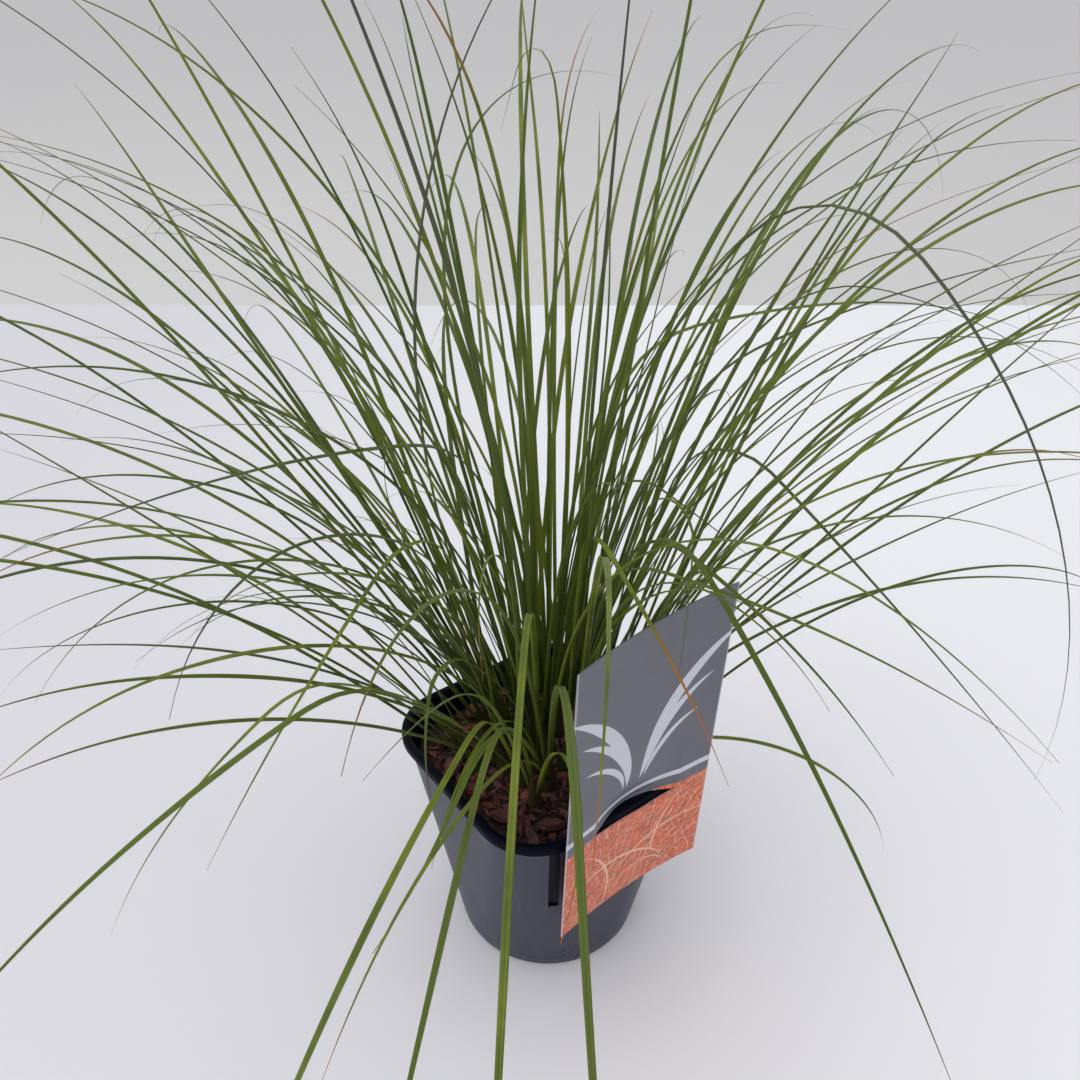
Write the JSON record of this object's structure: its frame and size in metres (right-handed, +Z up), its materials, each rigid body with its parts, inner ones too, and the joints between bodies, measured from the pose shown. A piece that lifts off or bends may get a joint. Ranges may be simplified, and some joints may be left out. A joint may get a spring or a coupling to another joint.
{
  "type": "potted orange sedge",
  "caption": "Clump of arching orange sedge in a square-round nursery pot, with bark mulch and a slit plant label on the rim.",
  "frame": {"origin": "middle of the pot's foot, on the surface that it stands on", "axes": "+Z up, out of the pot; -Y towards the side that the picture was taken from; the pot's sides are turned 37 degrees from X and Y"},
  "size_m": [0.7566, 0.7278, 0.5008],
  "materials": {
    "pot_plastic": "satin moulded plastic, dark blue-grey",
    "peat": "damp crumbly peat with fibres",
    "bark": "rough reddish bark chips",
    "leaf": "waxy channelled blades, green with pale margins, tips ageing to orange and purplish brown",
    "label_card": "smooth printed plastic card, slate grey over orange"
  },
  "bodies": {
    "root": {"pot": "pot_plastic", "substrate": "peat", "plant_label": "label_card", "bark_chip_01": "bark", "bark_chip_02": "bark", "bark_chip_03": "bark", "bark_chip_04": "bark", "bark_chip_05": "bark", "bark_chip_06": "bark", "bark_chip_07": "bark", "bark_chip_08": "bark", "bark_chip_09": "bark", "bark_chip_10": "bark", "bark_chip_11": "bark", "bark_chip_12": "bark", "bark_chip_13": "bark", "bark_chip_14": "bark", "tuft_01": "leaf", "tuft_02": "leaf", "tuft_03": "leaf", "tuft_04": "leaf", "tuft_05": "leaf", "tuft_06": "leaf", "tuft_07": "leaf", "tuft_08": "leaf", "tuft_09": "leaf", "tuft_10": "leaf", "tuft_11": "leaf", "tuft_12": "leaf", "tuft_13": "leaf", "tuft_14": "leaf", "tuft_15": "leaf", "tuft_16": "leaf", "tuft_17": "leaf", "tuft_18": "leaf", "tuft_19": "leaf", "tuft_20": "leaf", "tuft_21": "leaf", "tuft_22": "leaf", "tuft_23": "leaf", "tuft_24": "leaf", "tuft_25": "leaf"}
  },
  "joints": []
}
